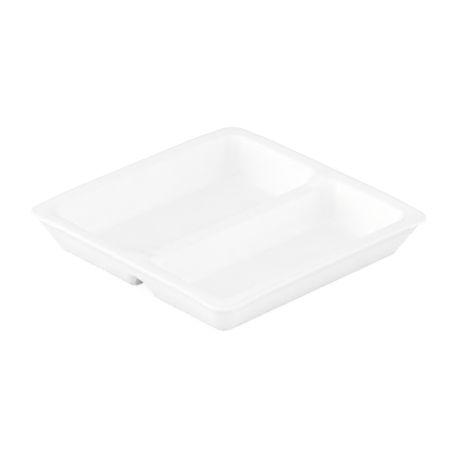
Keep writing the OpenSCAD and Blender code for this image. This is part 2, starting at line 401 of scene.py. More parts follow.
class BowlRule:
    """The bowl's upper and lower surface, worked out from its sizes."""

    def __init__(self, shape):
        self.shape = shape
        self.height = LIP_HIGH.z
        self.lip_bottom = LIP_LOW.z
        self.rim_half = LIP_HIGH.x
        self.seat_half = TOP_HIGH.x
        self.well_axis = LARGE_HIGH.x
        self.large_axis = LARGE_LOW.y
        self.small_axis = SMALL_HIGH.y
        self.floors = ((self.large_axis, self.well_axis), (-self.well_axis, self.small_axis))
        self.middle = (self.large_axis + self.small_axis) / 2
        self.floor_level = LARGE_HIGH.z
        self.panel_level = LARGE_LOW.z
        self.crown_level = RIDGE_HIGH.z
        self.outer_half = WALL_HIGH.x
        self.outer_axis = self.outer_half - shape.outer_corner
        self.outer_foot = shape.outer_corner - self.lip_bottom * math.tan(shape.outer_lean)
        self.outer_near = shape.base_edge * math.tan((QUARTER - shape.outer_lean) / 2)
        self.outer_start = self.outer_foot + self.outer_near * math.sin(shape.outer_lean)
        self.mouth_half = self.rim_half - shape.rim_width
        near = shape.floor_edge * math.tan((QUARTER - shape.well_lean) / 2)
        flare = shape.mouth_edge * math.tan((QUARTER - shape.well_lean) / 2)
        self.mouth = self.mouth_half - self.well_axis
        self.foot = self.mouth - (self.height - self.floor_level) * math.tan(shape.well_lean)
        self.floor_end = self.foot - near
        self.wall_start = self.foot + near * math.sin(shape.well_lean)
        self.wall_end = self.mouth - flare * math.sin(shape.well_lean)
        self.flare_end = self.mouth + flare

    def kept_height(self, x, y):
        """Share of its height that the bowl keeps here, less near the rim's corners."""
        part = ramp(np.abs(x * y) / self.rim_half**2, SAG_START, SAG_RUN)
        return 1 - self.shape.corner_sag / self.height * eased(part)

    def wall_top(self, x, y):
        """Level of the face between the walls and the rim's top."""
        return self.lip_bottom * self.kept_height(x, y)

    def off_floor(self, x, y):
        """Distance outward from the nearer compartment's floor, and its slopes along x and y."""
        sides = []
        for low_y, high_y in self.floors:
            from_middle = y - (low_y + high_y) / 2
            distance, toward_x, toward_y = off_border(
                np.abs(x) - self.well_axis,
                np.abs(from_middle) - (high_y - low_y) / 2,
                self.shape.well_corner,
                self.shape.corner_growth,
                self.wall_start,
            )
            sides.append((distance, toward_x * np.sign(x), toward_y * np.sign(from_middle)))
        large, small = sides
        nearer = large[0] < small[0]
        return tuple(np.where(nearer, a, b) for a, b in zip(large, small))

    def wall_from_inside(self, x, y):
        """Compartment walls and floors, running on upwards past the rim."""
        rise = 1 / math.tan(self.shape.well_lean)
        distance, toward_x, toward_y = self.off_floor(x, y)
        level, slope = bend(distance, self.foot, self.floor_level, 0.0, rise, self.shape.floor_edge)
        return level, slope * toward_x, slope * toward_y

    def saddle(self, x, y):
        """Level and slope along x of a level rim, and of the divider's top where it dips."""
        shape = self.shape
        head = self.mouth_half - shape.saddle_inset
        foot = head - shape.saddle_run
        climb = (self.height - self.crown_level) / shape.saddle_run
        along = np.abs(x)
        low, low_slope = bend(along, foot, self.crown_level, 0.0, climb, shape.saddle_round)
        high, high_slope = bend(along, head, self.height, climb, 0.0, shape.saddle_round)
        upper = along > (foot + head) / 2
        level = np.where(upper, high, low)
        slope = np.where(upper, high_slope, low_slope) * np.sign(x)
        over_divider = (y > self.small_axis) & (y < self.large_axis)
        return np.where(over_divider, level, self.height), np.where(over_divider, slope, 0.0)

    def rim_and_saddle(self, x, y):
        """Rim that falls a little towards the mouths, and the divider's top between them.

        The fall runs on past a mouth's edge before it levels out, where the wall hides it.
        """
        level, slope = self.saddle(x, y)
        distance, toward_x, toward_y = self.off_floor(x, y)
        seat = self.seat_half - self.well_axis
        width = seat - self.mouth
        part = np.clip((seat - distance) / width, 0.0, 1.0 + FALL_EASE)
        full = 1 - FALL_EASE / 2
        fall = np.where(part < FALL_EASE, part**2 / (2 * FALL_EASE), part - FALL_EASE / 2) / full
        steepness = np.minimum(part / FALL_EASE, 1.0) * (part < 1.0 + FALL_EASE) / full
        drop = self.shape.rim_fall * (level - self.crown_level) / (self.height - self.crown_level)
        slant = drop * steepness / width
        return level - drop * fall, slope + slant * toward_x, slant * toward_y

    def upper(self, x, y):
        """Level of everything that is seen from above."""
        shape = self.shape
        top = self.rim_and_saddle(x, y)
        dip = (self.height - top[0]) / (self.height - self.crown_level)
        edge = shape.mouth_edge + (shape.crown_edge - shape.mouth_edge) * np.clip(dip, 0.0, 1.0)
        level = eased_min(top, self.wall_from_inside(x, y), edge)
        return level * self.kept_height(x, y)

    def wall_from_outside(self, x, y):
        """Outer wall, base and the thinner floor panels, seen from below."""
        shape = self.shape
        rise = 1 / math.tan(shape.outer_lean)
        distance, toward_x, toward_y = off_border(
            np.abs(x) - self.outer_axis,
            np.abs(y) - self.outer_axis,
            self.outer_start,
            shape.outer_growth,
            self.outer_start,
        )
        level, slope = bend(distance, self.outer_foot, 0.0, 0.0, rise, shape.base_edge)
        for low_y, high_y in self.floors:
            inset = np.minimum(self.well_axis - np.abs(x), np.minimum(y - low_y, high_y - y))
            level = level + self.panel_level * eased(ramp(inset, 0.0, shape.panel_ramp))
        return level, slope * toward_x * np.sign(x), slope * toward_y * np.sign(y)

    def groove(self, y):
        """Groove under the divider, running on downwards past the base."""
        shape = self.shape
        fall = -1 / math.tan(shape.groove_lean)
        across = np.abs(y - self.middle)
        ceiling = shape.groove_width / 2 + shape.groove_height / fall
        level, slope = bend(across, ceiling, shape.groove_height, 0.0, fall, shape.groove_top_edge)
        return level, np.zeros_like(y), slope * np.sign(y - self.middle)

    def lower(self, x, y):
        """Level of everything that is seen from below."""
        shape = self.shape
        body = self.wall_from_outside(x, y)
        groove = self.groove(y)
        on_wall = ramp(body[0], 0.0, shape.groove_mouth_edge)
        edge = shape.groove_foot_edge + (shape.groove_mouth_edge - shape.groove_foot_edge) * on_wall
        near_ceiling = ramp(groove[0] / shape.groove_height, CEILING_START, CEILING_RUN)
        edge = edge + (shape.groove_lintel_edge - edge) * near_ceiling
        flipped = [tuple(-part for part in surface) for surface in (body, groove)]
        return -eased_min(flipped[0], flipped[1], edge) * self.kept_height(x, y)


def graded(stops, cells):
    """Lines along one axis that part the run between each two stops into so many cells."""
    runs = zip(stops, stops[1:], cells)
    parts = [np.linspace(start, end, count, endpoint=False) for start, end, count in runs]
    return np.concatenate(parts + [[stops[-1]]])


class Skin:
    """One grid of lines over the bowl, laid out once above and once below."""

    # Cells of each run from a floor's border outwards, above to the lip and below to the wall's top
    OUTER_CELLS = (3, 12, 20, 8, 1, 4)
    UNDER_CELLS = (8, 2, 16, 18, 4)
    # Runs above that belong to the walls, before the rim's top starts
    WALL_RUNS = 3
    # Cells along the floors, and across the small floor, the divider and the large floor
    LENGTH_CELLS = (6, 18, 6)
    SMALL_CELLS = (6, 6, 6)
    DIVIDER_CELLS = 104
    LARGE_CELLS = (6, 7, 6)
    # From the end of a mouth's rounding to the next line on the flat rim
    MARGIN = 0.5 * MILLIMETRE

    def __init__(self, rule):
        self.rule = rule
        # Lines outside the floors on each side, and how many of them come before the rim's top
        self.count = sum(self.OUTER_CELLS)
        self.band = sum(self.OUTER_CELLS[: self.WALL_RUNS])
        axis = rule.well_axis
        step = 2 * rule.shape.panel_ramp
        low, high = rule.small_axis, rule.large_axis
        inner_x = graded((-axis, -axis + step, axis - step, axis), self.LENGTH_CELLS)
        inner_y = graded(
            (-axis, -axis + step, low - step, low, high, high + step, axis - step, axis),
            (*self.SMALL_CELLS, self.DIVIDER_CELLS, *self.LARGE_CELLS),
        )
        self.lines = {}
        for side, stops, cells in (
            ("above", self.stops_above(), self.OUTER_CELLS),
            ("below", self.stops_below(), self.UNDER_CELLS),
        ):
            ends = graded(stops, cells)[1:] + axis
            self.lines[side] = tuple(
                np.concatenate([-ends[::-1], inner, ends]) for inner in (inner_x, inner_y)
            )
        self.band_lines = self.lines["above"][0][self.band - self.count - 1 :]
        self.cells = tuple(len(lines) - 1 for lines in self.lines["above"])
        small_end = self.count + sum(self.SMALL_CELLS)
        divider_end = small_end + self.DIVIDER_CELLS
        self.spans = {
            "x": (self.count, self.cells[0] - self.count),
            "small": (self.count, small_end),
            "divider": (small_end, divider_end),
            "large": (divider_end, self.cells[1] - self.count),
        }
        # How many lines outside the floors a point lies, along x and along y
        ranks = [
            np.maximum(np.maximum(self.count - place, place - (last - self.count)), 0)
            for last, place in ((last, np.arange(last + 1)) for last in self.cells)
        ]
        self.rank_x, self.rank_y = np.meshgrid(*ranks, indexing="ij")
        self.far_rank = np.maximum(self.rank_x, self.rank_y)
        self.near_rank = np.minimum(self.rank_x, self.rank_y)

    def stops_above(self):
        """Distances from a floor's border at which the spacing of the upper lines changes."""
        rule = self.rule
        return (
            0.0,
            rule.floor_end,
            rule.wall_start,
            rule.wall_end,
            rule.flare_end,
            rule.flare_end + self.MARGIN,
            rule.seat_half - rule.well_axis,
        )

    def stops_below(self):
        """Distances from a floor's border at which the spacing of the lower lines changes."""
        rule = self.rule
        start = rule.outer_axis - rule.well_axis
        edge = rule.outer_half - rule.well_axis
        return (
            0.0,
            start,
            start + rule.outer_foot - rule.outer_near,
            start + rule.outer_start,
            edge - SHADE_UNDER_LIP[1] * math.tan(rule.shape.outer_lean),
            edge,
        )

    def corner_above(self, half):
        """Corner radius of the ring at this half width, seen from above."""
        rule = self.rule
        distance = half - rule.well_axis
        wall = rule.wall_end - rule.wall_start
        flare = rule.flare_end - rule.wall_end
        growth = rule.shape.corner_growth
        rounded = rule.shape.well_corner + np.minimum(distance - rule.wall_start, 0.0)
        rounded = rounded + growth * np.clip(distance - rule.wall_start, 0.0, wall)
        rounded = rounded + np.clip(distance - rule.wall_end, 0.0, flare)
        mouth_corner = rule.shape.well_corner + growth * wall + flare
        seat_corner = rule.shape.rim_corner - (rule.rim_half - rule.seat_half)
        seat = rule.seat_half - rule.well_axis
        part = ramp(distance, rule.flare_end, seat - rule.flare_end)
        return np.maximum(rounded + (seat_corner - mouth_corner) * part, 0.0)

    def corner_below(self, half):
        """Corner radius of the ring at this half width, seen from below."""
        rule = self.rule
        distance = np.maximum(half - rule.outer_axis, 0.0)
        slowed = (1 - rule.shape.outer_growth) * np.maximum(distance - rule.outer_start, 0.0)
        return distance - slowed

    def corner_shelf(self, half):
        """Corner radius of a ring of the face that the rim's top rests on."""
        inner = self.band_lines[0]
        start = self.corner_above(inner)
        part = ramp(half, inner, self.rule.outer_half - inner)
        return start + (self.corner_below(self.rule.outer_half) - start) * part

    def plan(self, lines, corner):
        """Plan of the grid: square inside, rounded rings outside."""
        along, across = np.meshgrid(*lines, indexing="ij")
        start = self.rule.well_axis
        far = np.maximum(np.abs(along), np.abs(across))
        near = np.minimum(np.abs(along), np.abs(across))
        near_rank, far_rank = self.near_rank, self.far_rank
        in_corner = near_rank > 0
        margin = np.where(in_corner, far - start, 1.0)
        radius = np.minimum(corner(far), margin)
        part = near_rank / np.maximum(2 * far_rank, 1)
        straight = margin - radius
        arc = radius * QUARTER
        travel = part * (2 * straight + arc)
        turn = np.clip((travel - straight) / np.maximum(radius, TINY), 0.0, QUARTER)
        wide = np.where(travel < straight, far, far - radius + radius * np.cos(turn))
        tall = np.where(travel < straight, start + travel, far - radius + radius * np.sin(turn))
        first = self.rank_x >= self.rank_y
        x = np.where(in_corner, np.sign(along) * np.where(first, wide, tall), along)
        y = np.where(in_corner, np.sign(across) * np.where(first, tall, wide), across)
        return x, y

    def shelf_lines(self):
        """Lines of the upper grid, drawn out past the walls to the wall's top edge."""
        inner, outer = self.band_lines[0], self.band_lines[-1]
        more = (self.rule.outer_half - inner) / (outer - inner) - 1
        for lines in self.lines["above"]:
            past = np.maximum(np.abs(lines) - inner, 0.0)
            yield lines + np.sign(lines) * past * more

    def sheets(self):
        """Points, normals and bends of each sheet: above, below and the two between them.

        The shelf is the face on the walls, and the seat is the rim's top face that rests on it.
        """
        rule = self.rule
        x, y = self.plan(self.lines["above"], self.corner_above)
        u, v = self.plan(self.lines["below"], self.corner_below)
        s, t = self.plan(self.shelf_lines(), self.corner_shelf)
        wall_top = rule.wall_top(u, v)
        lower = np.where(self.far_rank == self.count, wall_top, rule.lower(u, v))
        above = np.stack([x, y, rule.upper(x, y)], -1)
        below = np.stack([u, v, lower], -1)
        shelf = np.stack([s, t, rule.wall_top(s, t)], -1)
        seat = np.stack([x, y, rule.wall_top(x, y)], -1)
        up, down = np.zeros_like(above), np.zeros_like(above)
        up[..., 2], down[..., 2] = 1.0, -1.0
        even = np.zeros_like(x)
        under_normals, under_bends = surface_normals(below, rule.lower, -1.0)
        # Painted shade under the lip: a made-up hollow bend on the wall's top gives it the dark deep glaze
        # colour
        lip_shade = np.interp(wall_top - lower, SHADE_UNDER_LIP, (0.0, 1.0, 0.0))
        return {
            "above": (above, *surface_normals(above, rule.upper, 1.0)),
            "below": (below, under_normals, under_bends - SHADE_UNDER_LIP_BEND * lip_shade),
            "shelf": (shelf, up, even),
            "seat": (seat, down, even),
        }


def surface_normals(points, level, side):
    """Outward normals of a level rule, and its bend: convex above zero, hollow below."""
    x, y = points[..., 0], points[..., 1]

    def normal(a, b):
        run = 2 * SLOPE_STEP
        slope_x = (level(a + SLOPE_STEP, b) - level(a - SLOPE_STEP, b)) / run
        slope_y = (level(a, b + SLOPE_STEP) - level(a, b - SLOPE_STEP)) / run
        scale = side / np.sqrt(1 + slope_x**2 + slope_y**2)
        return -slope_x * scale, -slope_y * scale, scale

    right, left = normal(x + BEND_STEP, y), normal(x - BEND_STEP, y)
    front, back = normal(x, y + BEND_STEP), normal(x, y - BEND_STEP)
    bends = (right[0] - left[0] + front[1] - back[1]) / (2 * BEND_STEP)
    return np.stack(normal(x, y), -1), bends


def shade(mesh, normals, bends):
    """Makes a mesh smooth, with a normal for each corner of its faces and a bend for each point."""
    mesh.polygons.foreach_set("use_smooth", [True] * len(mesh.polygons))
    mesh.normals_split_custom_set([tuple(normal) for normal in normals])
    attribute = mesh.attributes.new("bend", "FLOAT", "POINT")
    attribute.data.foreach_set("value", np.asarray(bends, np.float32))


class Piece:
    """Closed mesh of one region of the bowl, put together from parts of the sheets."""

    def __init__(self, skin, sheets):
        self.skin = skin
        self.sheets = sheets
        self.index = {}
        self.points = []
        self.bends = []
        self.faces = []
        self.loops = []

    def vertex(self, sheet, i, j):
        """Number of a sheet's vertex in this piece; the shelf ends on the wall's top edge."""
        if sheet == "shelf" and self.skin.far_rank[i, j] == self.skin.count:
            sheet = "below"
        key = (sheet, i, j)
        if key not in self.index:
            self.index[key] = len(self.points)
            points, _, bends = self.sheets[sheet]
            self.points.append(points[i, j])
            self.bends.append(bends[i, j])
        return self.index[key]

    def cover(self, sheet, cells):
        """Adds the faces of a sheet's cells, facing outwards."""
        upward = self.sheets[sheet][1][0, 0, 2] > 0
        for i, j in zip(*np.nonzero(cells)):
            ring = [(i, j), (i + 1, j), (i + 1, j + 1), (i, j + 1)]
            if not upward:
                ring.reverse()
            numbers = [self.vertex(sheet, *corner) for corner in ring]
            self.faces.append(numbers)
            self.loops.extend(self.sheets[sheet][1][corner] for corner in ring)

    def join(self, upper, lower, cells, toward, through=None):
        """Closes the piece along its cells' border towards other cells, sheet to sheet."""
        for i, j in zip(*np.nonzero(cells)):
            for (di, dj), start, end in (
                ((-1, 0), (i, j + 1), (i, j)),
                ((1, 0), (i + 1, j), (i + 1, j + 1)),
                ((0, -1), (i, j), (i + 1, j)),
                ((0, 1), (i + 1, j + 1), (i, j + 1)),
            ):
                if not toward[i + 1 + di, j + 1 + dj]:
                    continue
                ring = [self.vertex(upper, *start)]
                if through and self.skin.far_rank[start] == self.skin.band:
                    ring.append(self.vertex(through, *start))
                ring += [self.vertex(lower, *start), self.vertex(lower, *end)]
                if through and self.skin.far_rank[end] == self.skin.band:
                    ring.append(self.vertex(through, *end))
                ring.append(self.vertex(upper, *end))
                ring = list(dict.fromkeys(ring))
                if len(ring) < 3:
                    continue
                corners = np.array([self.points[n] for n in ring])
                normal = np.cross(corners, np.roll(corners, -1, axis=0)).sum(axis=0)
                self.faces.append(ring)
                self.loops.extend([normal / np.linalg.norm(normal)] * len(ring))

    def mesh(self, name):
        """The finished mesh, with its exact normals and its bend attribute."""
        mesh = bpy.data.meshes.new(name)
        mesh.from_pydata([tuple(p) for p in self.points], [], self.faces)
        if mesh.validate() or not np.isfinite(self.loops).all():
            raise RuntimeError(f"{name} has a broken face")
        shade(mesh, self.loops, self.bends)
        return mesh


def placed(name, data):
    """New object of the scene with this mesh, lamp or camera."""
    item = bpy.data.objects.new(name, data)
    bpy.context.scene.collection.objects.link(item)
    return item


def finished(name, mesh, slot, nodes):
    """Adds a piece to the bowl in place of the CAD nodes that it stands for."""
    mesh.materials.clear()
    mesh.materials.append(glaze(slot, bpy.context.scene.bowl_finish))
    piece = placed(name, mesh)
    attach(piece, BODY)
    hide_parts(*nodes)


def laid_out(context):
    """The skin of the bowl at its present sizes, and the sheets of its points."""
    skin = Skin(BowlRule(context.scene.bowl_shape))
    return skin, skin.sheets()


def cells_between(skin, span_x, span_y):
    """Mask of the cells between two pairs of line numbers."""
    cells = np.zeros(skin.cells, bool)
    cells[span_x[0] : span_x[1], span_y[0] : span_y[1]] = True
    return cells


def band_cells(skin):
    """Mask of the cells of the rim's top, all round."""
    cells = np.ones(skin.cells, bool)
    edge = skin.count - skin.band
    cells[edge:-edge, edge:-edge] = False
    return cells


def add_region(node, slot, skin, sheets, cells):
    """Adds the closed piece of one region of the body below the rim's top."""
    band = band_cells(skin) & cells
    inner = cells & ~band
    piece = Piece(skin, sheets)
    piece.cover("above", inner)
    piece.cover("shelf", band)
    piece.cover("below", cells)
    others = np.pad(~cells, 1)
    piece.join("above", "below", inner, others, through="shelf" if band.any() else None)
    piece.join("above", "shelf", inner, np.pad(band, 1))
    piece.join("shelf", "below", band, others)
    finished(f"{node}_body", piece.mesh(f"{node}_body"), slot, [node])


def feed(tree, socket, value):
    """Links another node's output to a socket, or sets the socket to a plain value."""
    if isinstance(value, bpy.types.NodeSocket):
        tree.links.new(value, socket)
    else:
        socket.default_value = value


def add_node(tree, kind, inputs, **settings):
    """New node with its settings; inputs gives what feeds each of its sockets."""
    node = tree.nodes.new(kind)
    for name, value in settings.items():
        setattr(node, name, value)
    for key, value in inputs.items():
        feed(tree, node.inputs[key], value)
    return node


def maths(tree, operation, first, second):
    """Output of a new node that works on two numbers or outputs."""
    node = add_node(tree, "ShaderNodeMath", {0: first, 1: second}, operation=operation)
    return node.outputs[0]


def joined(tree, x, y, z):
    """Output of a new node that joins three numbers or outputs into a vector."""
    return add_node(tree, "ShaderNodeCombineXYZ", {"X": x, "Y": y, "Z": z}).outputs[0]


def new_tree(name, kind, inputs, outputs):
    """Node group, with the sockets that its inputs come from and those that its outputs go to.

    inputs and outputs give the kind of each socket by its name.
    """
    tree = bpy.data.node_groups.new(name, kind)
    for side, sockets in (("INPUT", inputs), ("OUTPUT", outputs)):
        for label, sort in sockets.items():
            tree.interface.new_socket(label, in_out=side, socket_type=f"NodeSocket{sort}")
    given = tree.nodes.new("NodeGroupInput")
    made = tree.nodes.new("NodeGroupOutput")
    return tree, given.outputs, made.inputs


def lip_tree():
    """Geometry Nodes that sweep the lip's section round the rim."""
    sizes = ("Half side", "Corner", "Seat", "Height", "Edge", "Under edge", "Stretch", "Level")
    tree, given, made = new_tree(
        "swept lip",
        "GeometryNodeTree",
        {**dict.fromkeys(sizes, "Float"), "Glaze": "Material"},
        {"Geometry": "Geometry"},
    )

    def rectangle(width, height):
        inputs = {"Width": width, "Height": height}
        return add_node(tree, "GeometryNodeCurvePrimitiveQuadrilateral", inputs).outputs[0]

    def fillet(curve, radius, count):
        inputs = {"Curve": curve, "Radius": radius, "Count": count}
        return add_node(tree, "GeometryNodeFilletCurve", inputs, mode="POLY").outputs[0]

    side = maths(tree, "MULTIPLY", given["Half side"], 2.0)
    path = fillet(rectangle(side, side), given["Corner"], LIP_CORNER_POINTS)
    even = {"Curve": path, "Count": LIP_POINTS}
    path = add_node(tree, "GeometryNodeResampleCurve", even, mode="COUNT").outputs[0]
    path = add_node(tree, "GeometryNodeSetCurveNormal", {"Curve": path}, mode="Z_UP").outputs[0]

    # The sweep turns the section over, so the half below its own zero becomes the upper one
    narrow = maths(tree, "DIVIDE", given["Seat"], given["Stretch"])
    section = rectangle(narrow, given["Height"])
    place = tree.nodes.new("GeometryNodeInputPosition").outputs[0]
    parts = add_node(tree, "ShaderNodeSeparateXYZ", {0: place}).outputs
    outward = maths(tree, "GREATER_THAN", parts["X"], 0.0)
    upper = maths(tree, "LESS_THAN", parts["Y"], 0.0)
    more = maths(tree, "SUBTRACT", given["Edge"], given["Under edge"])
    radius = maths(tree, "ADD", given["Under edge"], maths(tree, "MULTIPLY", upper, more))
    section = fillet(section, maths(tree, "MULTIPLY", outward, radius), LIP_EDGE_POINTS)
    fitted = {
        "Geometry": section,
        "Translation": joined(tree, maths(tree, "MULTIPLY", given["Seat"], 0.5), 0.0, 0.0),
        "Scale": joined(tree, given["Stretch"], 1.0, 1.0),
    }
    section = add_node(tree, "GeometryNodeTransform", fitted).outputs[0]

    swept = {"Curve": path, "Profile Curve": section}
    lip = add_node(tree, "GeometryNodeCurveToMesh", swept).outputs[0]
    lifted = {"Geometry": lip, "Translation": joined(tree, 0.0, 0.0, given["Level"])}
    lip = add_node(tree, "GeometryNodeTransform", lifted).outputs[0]
    lip = add_node(tree, "GeometryNodeRealizeInstances", {"Geometry": lip}).outputs[0]
    glazed = {"Geometry": lip, "Material": given["Glaze"]}
    lip = add_node(tree, "GeometryNodeSetMaterial", glazed).outputs[0]
    tree.links.new(lip, made["Geometry"])
    return tree


def grown(name, tree, values):
    """Plain mesh that a Geometry Nodes tree makes with these input values."""
    holder = placed(name, bpy.data.meshes.new(name))
    modifier = holder.modifiers.new(name, "NODES")
    modifier.node_group = tree
    sockets = {
        item.name: item.identifier
        for item in tree.interface.items_tree
        if item.item_type == "SOCKET" and item.in_out == "INPUT"
    }
    for label, value in values.items():
        modifier[sockets[label]] = value
    graph = bpy.context.evaluated_depsgraph_get()
    mesh = bpy.data.meshes.new_from_object(holder.evaluated_get(graph))
    holder.modifiers.remove(modifier)
    bpy.data.objects.remove(holder)
    if not mesh.polygons:
        raise RuntimeError(f"{name} came out empty")
    return mesh


def lip_normals(mesh, shape, places):
    """Exact normals of the level lip at the corners of its faces, and its bend at its points."""
    axis = LIP_HIGH.x - shape.rim_corner
    high, low = LIP_HIGH.z - shape.lip_edge, LIP_LOW.z + shape.lip_under_edge
    across = np.sign(places[:, :2]) * np.maximum(np.abs(places[:, :2]) - axis, 0.0)
    reach = np.hypot(across[:, 0], across[:, 1])
    outward = across / np.maximum(reach, TINY)[:, None]
    rise = np.maximum(places[:, 2] - high, 0.0) + np.minimum(places[:, 2] - low, 0.0)
    radius = np.where(places[:, 2] > high, shape.lip_edge, shape.lip_under_edge)
    stretch = shape.lip_stretch
    beyond = (reach - shape.rim_corner + radius * stretch) / stretch**2
    beyond = np.where(rise == 0.0, radius, beyond)
    rounded = np.column_stack([outward * np.maximum(beyond, 0.0)[:, None], rise])
    normals = []
    bends = np.zeros(len(places))
    for face in mesh.polygons:
        for number in face.loop_indices:
            vertex = mesh.loops[number].vertex_index
            away = Vector((*outward[vertex], 0.0))
            normal = Vector(rounded[vertex])
            flat = abs(face.normal.z) > FACES_UP or face.normal.dot(away) < FACES_IN
            normals.append(face.normal.copy() if flat or not normal.length else normal.normalized())
            # Rounded faces get a convex bend and so the thin glaze colour, which is partly painted shade
            # over the lip's lit edge
            if not flat:
                bends[vertex] = 1 / radius[vertex]
    return normals, bends


def sag_lip(mesh, rule, places, normals):
    """Lets the lip's corners hang, and turns its normals with them."""
    x, y = places[:, 0], places[:, 1]
    kept = rule.kept_height(x, y)
    run = 2 * SAG_STEP
    slant_x = (rule.kept_height(x + SAG_STEP, y) - rule.kept_height(x - SAG_STEP, y)) / run
    slant_y = (rule.kept_height(x, y + SAG_STEP) - rule.kept_height(x, y - SAG_STEP)) / run
    for loop, normal in zip(mesh.loops, normals):
        vertex = loop.vertex_index
        tilt = normal.z * places[vertex, 2] / kept[vertex]
        normal.x -= tilt * slant_x[vertex]
        normal.y -= tilt * slant_y[vertex]
        normal.z /= kept[vertex]
        normal.normalize()
    places[:, 2] *= kept
    mesh.vertices.foreach_set("co", places.ravel())


def glaze_tree():
    """Shader group of the glaze: tone by its thickness, which is partly painted shade on edges, in hollows
    and under the lip, cloudy mottle and fine grain.
    """
    tree, given, made = new_tree(
        "matt glaze",
        "ShaderNodeTree",
        {
            **dict.fromkeys(("Glaze", "Thin", "Deep"), "Color"),
            **dict.fromkeys(("Roughness", "Mottle", "Grain"), "Float"),
        },
        {"Color": "Color", "Roughness": "Float", "Height": "Float"},
    )
    where = tree.nodes.new("ShaderNodeTexCoord").outputs["Object"]

    def noise(scale, detail, roughness):
        inputs = {"Vector": where, "Scale": scale, "Detail": detail, "Roughness": roughness}
        return add_node(tree, "ShaderNodeTexNoise", inputs).outputs["Fac"]

    def ranged(value, limits, low, high):
        labels = ("Value", "From Min", "From Max", "To Min", "To Max")
        inputs = dict(zip(labels, (value, *limits, low, high)))
        node = add_node(tree, "ShaderNodeMapRange", inputs, interpolation_type="SMOOTHSTEP")
        return node.outputs["Result"]

    def mixed(amount, first, second):
        inputs = {MIX_AMOUNT: amount, MIX_FIRST: first, MIX_SECOND: second}
        return add_node(tree, "ShaderNodeMix", inputs, data_type="RGBA").outputs[MIX_RESULT]

    def part_of(label, value):
        return maths(tree, "MULTIPLY", value, given[label])

    curve = add_node(tree, "ShaderNodeAttribute", {}, attribute_name="bend").outputs["Fac"]
    cloud = noise(*CLOUD)
    drift = noise(*DRIFT)
    # Thin glaze colour over convex edges, partly painted shade that dims the lit lip
    tone = mixed(ranged(curve, THIN_AND_SHADE_BEND, 0.0, 1.0), given["Glaze"], given["Thin"])
    # Deep glaze colour in hollows, partly painted shade in corners, at the walls' foot and under the lip
    tone = mixed(ranged(curve, POOL_AND_SHADE_BEND, 0.0, 1.0), tone, given["Deep"])
    mottle = part_of("Mottle", ranged(cloud, CLOUD_TONES, 0.0, MOST_MOTTLE))
    tone = mixed(mottle, tone, given["Deep"])
    light = part_of("Mottle", ranged(drift, DRIFT_TONES, 0.0, MOST_MOTTLE))
    tone = mixed(light, tone, given["Thin"])
    rough = given["Roughness"]
    for change in (
        ranged(cloud, CLOUD_ROUGH_TONES, -CLOUD_ROUGH, CLOUD_ROUGH),
        ranged(curve, POOL_AND_SHADE_BEND, 0.0, POOL_ROUGH),
        ranged(curve, THIN_AND_SHADE_BEND, 0.0, THIN_ROUGH),
    ):
        rough = maths(tree, "ADD", rough, change)
    fine = part_of("Grain", noise(*SPECK))
    tree.links.new(tone, made["Color"])
    tree.links.new(rough, made["Roughness"])
    tree.links.new(maths(tree, "ADD", fine, noise(*RIPPLE)), made["Height"])
    return tree


def glaze(slot, finish):
    """Matt white glaze of one material slot."""
    name = f"{slot} glaze"
    if name in bpy.data.materials:
        return bpy.data.materials[name]
    material = bpy.data.materials.new(name)
    material.use_nodes = True
    tree = material.node_tree
    polish, mottle, grain = SLOT_GLAZE[slot]
    coat = add_node(
        tree,
        "ShaderNodeGroup",
        {
            "Glaze": finish.body,
            "Thin": finish.edge,
            "Deep": finish.pool,
            "Roughness": finish.roughness - polish,
            "Mottle": finish.mottle * mottle,
            "Grain": finish.grain * grain,
        },
        node_tree=bpy.data.node_groups.get("matt glaze") or glaze_tree(),
    ).outputs
    bumps = {"Strength": BUMP_STRENGTH, "Distance": BUMP_DEPTH, "Height": coat["Height"]}
    bump = add_node(tree, "ShaderNodeBump", bumps)
    surface = {
        "Base Color": coat["Color"],
        "Roughness": coat["Roughness"],
        "Normal": bump.outputs["Normal"],
        "Specular IOR Level": MIRROR_LEVEL,
        "IOR": GLAZE_IOR,
    }
    for label, value in surface.items():
        feed(tree, tree.nodes["Principled BSDF"].inputs[label], value)
    return material


class BOWL_OT_rim_lip(bpy.types.Operator):
    """Sweep the lip round the rim"""

    bl_idname = "bowl.rim_lip"
    bl_label = "Rim lip"

    def execute(self, context):
        shape = context.scene.bowl_shape
        seat = LIP_HIGH.x - TOP_HIGH.x
        mesh = grown(
            "rim_lip_body",
            lip_tree(),
            {
                "Half side": TOP_HIGH.x,
                "Corner": shape.rim_corner - seat,
                "Seat": seat,
                "Height": LIP_HIGH.z - LIP_LOW.z,
                "Edge": shape.lip_edge,
                "Under edge": shape.lip_under_edge,
                "Stretch": shape.lip_stretch,
                "Level": (LIP_HIGH.z + LIP_LOW.z) / 2,
                "Glaze": glaze("rim", context.scene.bowl_finish),
            },
        )
        places = np.array([vertex.co for vertex in mesh.vertices])
        normals, bends = lip_normals(mesh, shape, places)
        sag_lip(mesh, BowlRule(shape), places, normals)
        shade(mesh, normals, bends)
        finished("rim_lip_body", mesh, "rim", ["rim_lip"])
        return {"FINISHED"}


class BOWL_OT_rim_top(bpy.types.Operator):
    """Make the rim's top, with the outer part of the mouths' roundings"""

    bl_idname = "bowl.rim_top"
    bl_label = "Rim top"

    def execute(self, context):
        skin, sheets = laid_out(context)
        band = band_cells(skin)
        piece = Piece(skin, sheets)
        piece.cover("above", band)
        piece.cover("seat", band)
        piece.join("above", "seat", band, np.pad(~band, 1, constant_values=True))
        finished("rim_top_body", piece.mesh("rim_top_body"), "rim", ["rim_top"])
        return {"FINISHED"}


